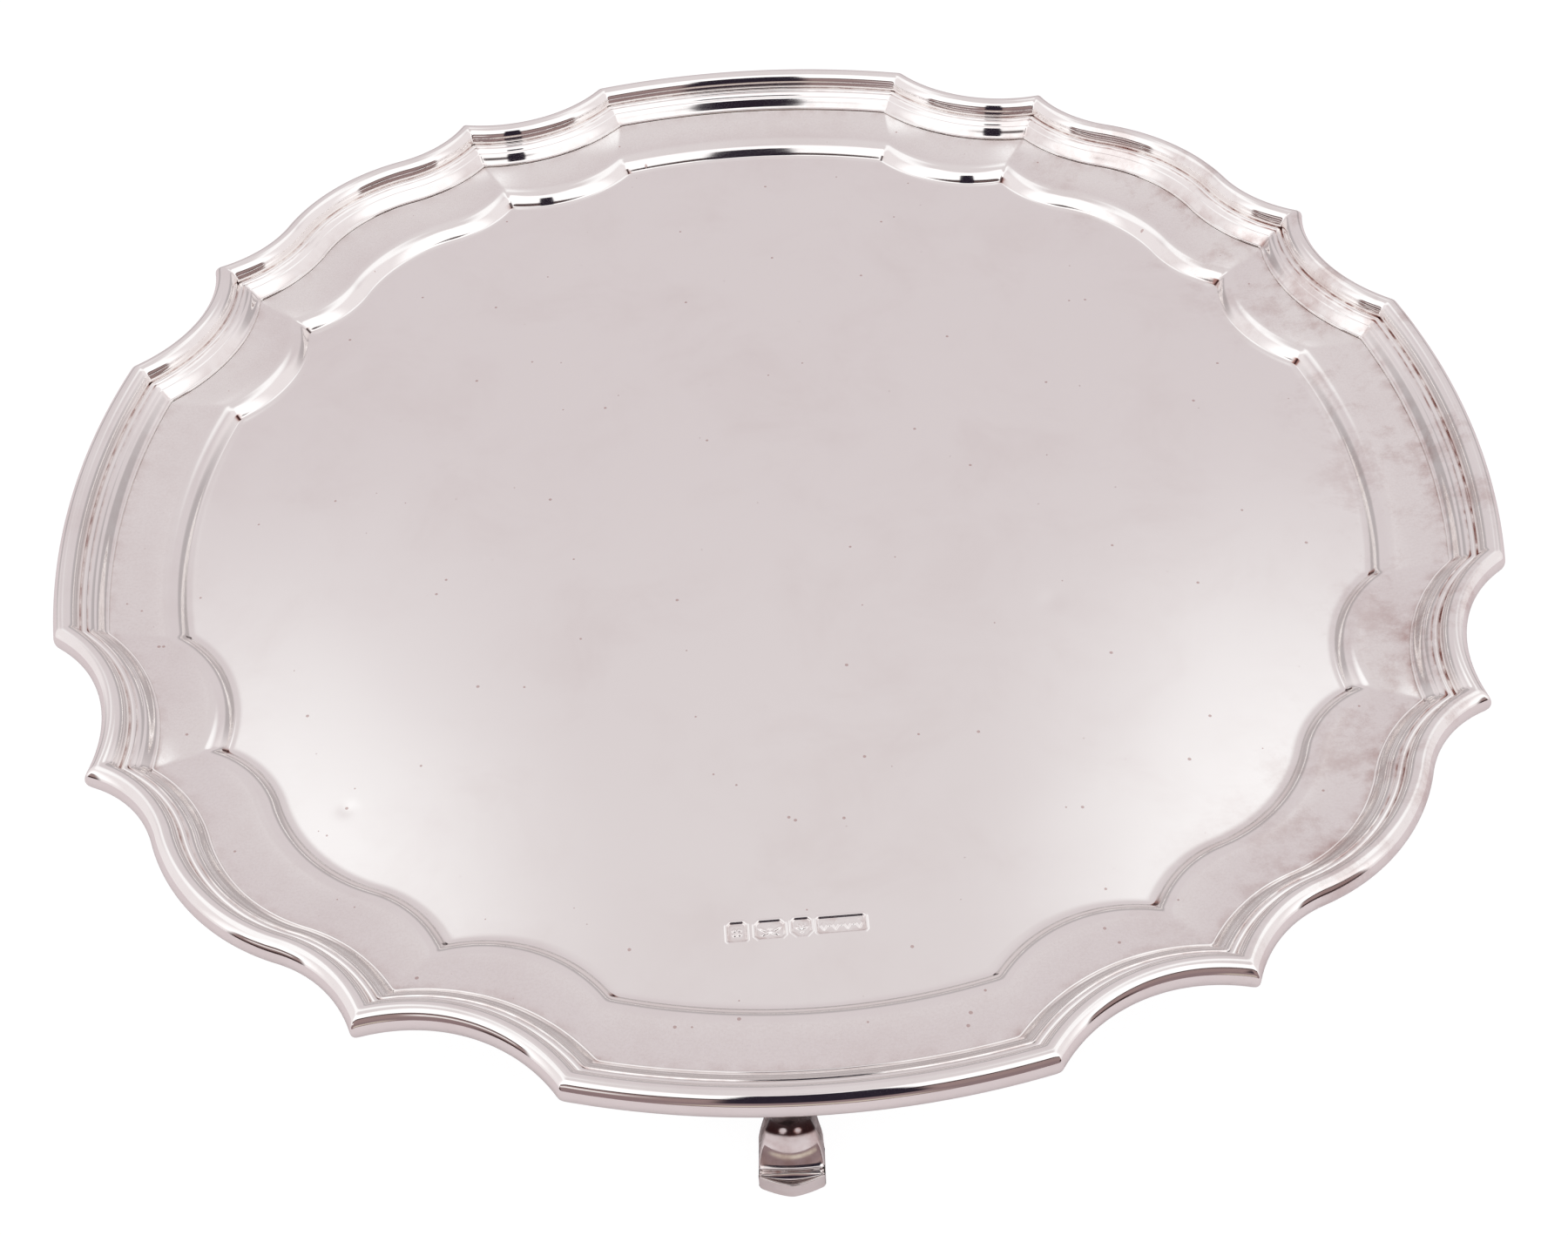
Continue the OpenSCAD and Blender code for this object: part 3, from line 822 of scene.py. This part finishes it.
TOE = SIDE_MIDDLE + TOE_REACH
HEEL = TOE - FOOT_LENGTH
TOE_BOW = 1.5 * MM
BOW_POWER = 1.5
LEG_INSET = 0.2 * MM
LEG_STEPS = 36
SHIN_HOLLOW = mm(3.1, 10)
SHIN_ROUND = 0.7 * MM
LEDGE_BACK = 2.4 * MM
LEDGE_BOW = 0.25 * MM
LEDGE_Z = 4.75 * MM
PAD_Z = 3.75 * MM
DISH_DEPTH = 0.5 * MM
DISH_STEPS = 14
CHANNEL_GRIME = 1.2
FOOT_EDGE = 0.45 * MM
EDGE_STEPS = 7
WIDTH_STEPS = 27
# The two painted glints on a neck, gaps left in its painted black reflection: their place across it,
# half width, height and half height
GLINT_ACROSS = (0.33, 0.12)
GLINT_Z = mm(10.4, 0.45)


def leg_tarnish_and_painted_reflection(t, z):
    """Tarnish down the front of the leg, partly a painted reflection, and a painted black reflection
    at the neck but for two gaps left as painted glints.
    """
    neck = 0.6 + 1.4 * smoothstep(NECK_PAINTED_DARK_Z, NECK_PAINTED_DARK_Z + 1.3 * MM, z)
    across, up = (abs(t) - GLINT_ACROSS[0]) / GLINT_ACROSS[1], (z - GLINT_Z[0]) / GLINT_Z[1]
    return neck * (1 - np.clip(1.5 * np.exp(-(across**2) - up**2), 0, 1))


def foot_loop(t):
    """The side view at t, -1 at one edge to 1 at the other, as (distance, z), and its tarnish and
    painted dark.
    """
    bow = abs(t)
    leg_top = np.array([SIDE_MIDDLE - SHEET_EDGE - LEG_INSET, LAND_UNDER_Z])
    toe = TOE - TOE_BOW * bow**BOW_POWER
    ledge = TOE - LEDGE_BACK - LEDGE_BOW * bow**2
    rim_back = ledge + (0.36 + 0.30 * bow**BOW_POWER) * MM
    heel_top = (HEEL, 0) + mm(0.8, 4.6)
    calf_pull = (SIDE_MIDDLE - BORDER_REACH, 0) + mm(-0.5, 10)
    calf_top = (SIDE_MIDDLE - BORDER_REACH + LEG_INSET, LAND_UNDER_Z)

    front = bend(leg_top, (leg_top[0] - SHIN_HOLLOW[0], SHIN_HOLLOW[1]), (ledge, LEDGE_Z), LEG_STEPS)
    front[:, 0] -= SHIN_ROUND * bow**2 * np.sin(np.linspace(0, math.pi, LEG_STEPS))
    shelf = ellipse_points((ledge, LEDGE_Z) + mm(0.12, -0.2), mm(0.16, 0.2), (80, -50), 7)
    channel = (ledge, PAD_Z) + np.array([mm(0.2, 0.15), mm(0.25, 0.05)])
    rim = ellipse_points((rim_back, PAD_Z) + mm(0, -0.01), mm(0.1, 0.1), (150, 30), 5)
    share = np.linspace(0, 1, DISH_STEPS)
    dish_u = np.interp(share, (0, 1), (rim_back + 0.11 * MM, toe - 0.34 * MM))
    dish_z = PAD_Z - DISH_DEPTH * (1 - bow**2) * 4 * share * (1 - share)
    lip = ellipse_points((toe, PAD_Z) + mm(-0.17, -0.11), mm(0.17, 0.2), (130, 0), 7)
    skirt = (toe, 0) + bend(mm(0, 3.4), mm(-0.25, 1.8), mm(-0.05, 0.35), 6)
    toe_sole = (toe, 0) + np.array([mm(-0.12, 0.08), mm(-0.3, 0)])
    heel_sole = (HEEL, 0) + np.array([mm(0.25, 0), mm(0, 0.2)])
    parts = [
        (front, leg_tarnish_and_painted_reflection(t, front[:, 1])),
        (shelf, np.zeros(len(shelf))),
        (channel, [CHANNEL_GRIME, CHANNEL_GRIME]),
        (rim, np.zeros(len(rim))),
        (np.column_stack([dish_u, dish_z]), 0.35 * np.sin(share * math.pi)),
        (np.vstack([lip, skirt, toe_sole, heel_sole]), np.zeros(len(lip) + len(skirt) + 4)),
        (bend(heel_top, calf_pull, calf_top, 16), np.linspace(0.2, 1.4, 16)),
    ]
    return np.vstack([part[0] for part in parts]), np.concatenate([part[1] for part in parts])


def half_width(z):
    """Half the foot's width at a height."""
    low, neck = (FOOT_WIDTH / 2, 0), (NECK_WIDTH / 2, 0)
    pad = low + np.array([mm(0, 0), mm(0, 3.4), mm(-0.15, 4.2)])
    leg = bend(low + mm(-0.15, 5.2), low + mm(-0.65, 7.6), neck + mm(0, 12), 24)
    neck_top = [neck[0] + 0.4 * MM, LAND_UNDER_Z]
    outline_x, outline_z = np.vstack([pad, leg, neck_top]).T
    return np.interp(z, outline_z, outline_x)


def inward_normals(loop):
    """Unit normals that point into a closed clockwise loop."""
    tangent = np.roll(loop, -1, axis=0) - np.roll(loop, 1, axis=0)
    tangent /= np.linalg.norm(tangent, axis=1)[:, None]
    return np.column_stack([tangent[:, 1], -tangent[:, 0]])


def add_foot(label, quarter):
    angle = quarter * math.pi / 2 + FOOT_TURN
    outward = np.array([math.cos(angle), math.sin(angle), 0])
    sideways = np.array([-math.sin(angle), math.cos(angle), 0])
    quarter_turn = np.linspace(0, math.pi / 2, EDGE_STEPS)
    edge = 1 - (FOOT_EDGE / (FOOT_WIDTH / 2)) * (1 - np.sin(quarter_turn))
    middle = np.linspace(-edge[0], edge[0], WIDTH_STEPS)
    positions = np.concatenate([-edge[::-1], middle[1:-1], edge])
    rows, tarnish_and_painted_dark_rows = [], []
    for t in positions:
        loop, recess = foot_loop(t)
        width = half_width(loop[:, 1])
        over = np.clip((abs(t) * width - (width - FOOT_EDGE)) / FOOT_EDGE, 0, 1)
        pull = FOOT_EDGE * (1 - np.sqrt(1 - over**2))
        moved = loop + inward_normals(loop) * pull[:, None]
        moved[:, 1] = np.where(loop[:, 1] > LAND_UNDER_Z - 1e-6, LAND_UNDER_Z, moved[:, 1])
        x = t * width
        rows.append(moved[:, :1] * outward + moved[:, 1:] * (0, 0, 1) + x[:, None] * sideways)
        tarnish_and_painted_dark_rows.append(recess)
    count, size = len(rows), len(rows[0])
    vertices = np.vstack(rows)
    faces = strip_faces(count, size, closed_columns=True)[:, ::-1].tolist()
    for row, flip in ((0, False), (count - 1, True)):
        cap = [row * size + k for k in range(size)]
        faces.append(cap if flip else cap[::-1])
    attributes = {"recess": np.concatenate(tarnish_and_painted_dark_rows)}
    node = "foot_" + label
    return add_piece(node, vertices, faces, FOOT_SILVER, attributes, sharp_angle=60)


for quarter, label in enumerate(SIDES):
    add_foot(label, quarter)

# ------------------------------------------------------------------ camera

CAMERA_ELEVATION = math.radians(48.6308)
CAMERA_ROLL = math.radians(-2.6071)
CAMERA_AZIMUTH = math.radians(-0.6761)
CAMERA_DISTANCE = 2.4157 * CUSP_RADIUS
CAMERA_TARGET = Vector((0.0053 * CUSP_RADIUS, -0.298 * CUSP_RADIUS, ROLL_Z))
CAMERA_LENS = 41.59


def add_camera():
    data = bpy.data.cameras.new("camera")
    data.lens = CAMERA_LENS
    data.sensor_width = 36
    data.clip_start, data.clip_end = 0.01, 50
    camera = bpy.data.objects.new("camera", data)
    back = Vector((0, -math.cos(CAMERA_ELEVATION), math.sin(CAMERA_ELEVATION)))
    right = Vector((1, 0, 0))
    up = back.cross(right)
    turned_right = math.cos(CAMERA_ROLL) * right + math.sin(CAMERA_ROLL) * up
    turned_up = math.cos(CAMERA_ROLL) * up - math.sin(CAMERA_ROLL) * right
    stand = Matrix.Translation(CAMERA_TARGET + back * CAMERA_DISTANCE)
    facing = Matrix((turned_right, turned_up, back)).transposed().to_4x4()
    camera.matrix_world = Matrix.Rotation(CAMERA_AZIMUTH, 4, "Z") @ stand @ facing
    bpy.context.scene.collection.objects.link(camera)
    bpy.context.scene.camera = camera


add_camera()

# ------------------------------------------------------------------ floor and studio light

FLOOR_SIZE = 12.0
FLOOR_GLOW = 0.94
FLOOR_SHADE = rgba(0.12, 0.12, 0.12)
FLOOR_WHITE = rgba(0.74, 0.68, 0.69)


def add_floor():
    """A white floor that shows almost no shadow, mirrored as matt and clear from below."""
    mesh = bpy.data.meshes.new("floor")
    half = FLOOR_SIZE / 2
    corners = [(-half, -half, 0), (half, -half, 0), (half, half, 0), (-half, half, 0)]
    mesh.from_pydata(corners, [], [(0, 1, 2, 3)])
    material = bpy.data.materials.new("floor")
    material.use_nodes = True
    g = Graph(material.node_tree)
    glow = g.node("ShaderNodeEmission", {"Color": rgba(1, 1, 1), "Strength": FLOOR_GLOW})
    shade = g.node("ShaderNodeBsdfDiffuse", {"Color": FLOOR_SHADE})
    seen = g.node("ShaderNodeAddShader", {0: glow.outputs[0], 1: shade.outputs[0]})
    matt = g.node("ShaderNodeBsdfDiffuse", {"Color": FLOOR_WHITE})
    direct = g.node("ShaderNodeLightPath").outputs["Is Camera Ray"]
    above = g.node("ShaderNodeMixShader", {0: direct, 1: matt.outputs[0], 2: seen.outputs[0]})
    clear = g.node("ShaderNodeBsdfTransparent")
    below = g.node("ShaderNodeNewGeometry").outputs["Backfacing"]
    both = g.node("ShaderNodeMixShader", {0: below, 1: above.outputs[0], 2: clear.outputs[0]})
    g.node("ShaderNodeOutputMaterial", {"Surface": both.outputs[0]})
    mesh.materials.append(material)
    floor = bpy.data.objects.new("floor", mesh)
    bpy.context.scene.collection.objects.link(floor)


add_floor()


class Panel(NamedTuple):
    """A soft-edged rectangle of one colour, across and up, in a card's own units."""

    across: tuple
    up: tuple
    softness: tuple
    colour: tuple


# The room, in degrees of azimuth from the back and of elevation; OVERHEAD's azimuth is from
# the front
DEGREE = math.radians(1)
ROOM = rgba(0.69, 0.63, 0.645)
ROOM_PANELS = [
    Panel((-170, 170), (48, 96), (9, 9), rgba(0.735, 0.685, 0.695)),
    Panel((18, 130), (47, 68), (9, 7), rgba(1.03, 1.02, 1.03)),
    Panel((-130, -18), (47, 68), (9, 7), rgba(1.03, 1.02, 1.03)),
    Panel((55, 130), (-10, 50), (12, 5), rgba(0.86, 0.81, 0.82)),
    Panel((-130, -55), (-10, 50), (12, 5), rgba(0.86, 0.81, 0.82)),
    Panel((-60, 60), (-12, 15), (12, 5), rgba(0.48, 0.44, 0.45)),
]
OVERHEAD = Panel((-75, 75), (10, 74), (10, 5), rgba(1.15, 1.13, 1.14))

# Cards in front of the salver, in metres across and up, just clear of the floor
CARD_FOOT = 0.001
TABLE_CARD_Y = -0.62
TABLE_CARD = [
    Panel((-1.19, 1.19), (-0.1, 0.54), (0.10, 0.03), rgba(0.050, 0.028, 0.028)),
    Panel((-1.19, 1.19), (0.14, 0.44), (0.10, 0.03), rgba(0.31, 0.22, 0.215)),
    Panel((-0.95, -0.22), (0.25, 0.34), (0.06, 0.02), rgba(0.90, 0.86, 0.86)),
    Panel((-0.55, 0.55), (-0.1, 0.19), (0.12, 0.03), rgba(0.26, 0.185, 0.19)),
    Panel((-0.13, 0.13), (0.035, 0.085), (0.05, 0.02), rgba(0.62, 0.54, 0.46)),
]
STAND_CARD_Y = -0.30
STAND_CARD = [Panel((-0.046, 0.060), (0.085, 0.54), (0.006, 0.008), rgba(0.020, 0.014, 0.024))]


def soft_share(g, across, up, panel, scale=1.0):
    """How far a place lies inside a panel, from 0 to 1 over its soft edges."""
    share = 1.0
    for place, (low, high), soft in zip((across, up), (panel.across, panel.up), panel.softness):
        rise = g.ramp(place, (low - soft) * scale, (low + soft) * scale)
        fall = g.ramp(place, (high - soft) * scale, (high + soft) * scale, 1.0, 0.0)
        share = g.math("MULTIPLY", g.math("MULTIPLY", rise, fall), share)
    return share


def add_room():
    """A pale room, with white panels high on both sides of the back and one over the front."""
    world = bpy.data.worlds.new("room")
    bpy.context.scene.world = world
    world.use_nodes = True
    g = Graph(world.node_tree)
    direction = g.node("ShaderNodeTexCoord").outputs["Generated"]
    x, y, z = g.node("ShaderNodeSeparateXYZ", {0: direction}).outputs
    elevation = g.math("ARCSINE", z)
    from_back = g.math("ARCTAN2", x, y)
    from_front = g.math("ARCTAN2", x, g.math("MULTIPLY", y, -1.0))
    colour = ROOM
    for panel in ROOM_PANELS:
        share = soft_share(g, from_back, elevation, panel, DEGREE)
        colour = g.mix(share, colour, panel.colour)
    share = soft_share(g, from_front, elevation, OVERHEAD, DEGREE)
    colour = g.mix(share, colour, OVERHEAD.colour)
    direct = g.node("ShaderNodeLightPath").outputs["Is Camera Ray"]
    colour = g.mix(direct, colour, rgba(1, 1, 1))
    light = g.node("ShaderNodeBackground", {"Color": colour, "Strength": 1.0})
    g.node("ShaderNodeOutputWorld", {"Surface": light.outputs[0]})


def add_card(name, y, panels):
    """An upright card that only the silver's reflections show, clear outside its panels."""
    left = 1.3 * min(panel.across[0] for panel in panels)
    right = 1.3 * max(panel.across[1] for panel in panels)
    top = 1.2 * max(panel.up[1] for panel in panels)
    mesh = bpy.data.meshes.new(name)
    corners = [(left, y, CARD_FOOT), (right, y, CARD_FOOT), (right, y, top), (left, y, top)]
    mesh.from_pydata(corners, [], [(0, 1, 2, 3)])
    material = bpy.data.materials.new(name)
    material.use_nodes = True
    g = Graph(material.node_tree)
    place = g.node("ShaderNodeTexCoord").outputs["Object"]
    x, _, z = g.node("ShaderNodeSeparateXYZ", {0: place}).outputs
    shares = [soft_share(g, x, z, panel) for panel in panels]
    colour = panels[0].colour
    for share, panel in zip(shares[1:], panels[1:]):
        colour = g.mix(share, colour, panel.colour)
    painted = g.node("ShaderNodeEmission", {"Color": colour, "Strength": 1.0})
    clear = g.node("ShaderNodeBsdfTransparent")
    both = g.node("ShaderNodeMixShader", {0: shares[0], 1: clear.outputs[0], 2: painted.outputs[0]})
    g.node("ShaderNodeOutputMaterial", {"Surface": both.outputs[0]})
    mesh.materials.append(material)
    card = bpy.data.objects.new(name, mesh)
    card.visible_camera = False
    card.visible_diffuse = False
    card.visible_shadow = False
    bpy.context.scene.collection.objects.link(card)


add_room()
add_card("table_card", TABLE_CARD_Y, TABLE_CARD)
add_card("stand_card", STAND_CARD_Y, STAND_CARD)
bpy.context.scene.view_settings.view_transform = "Standard"
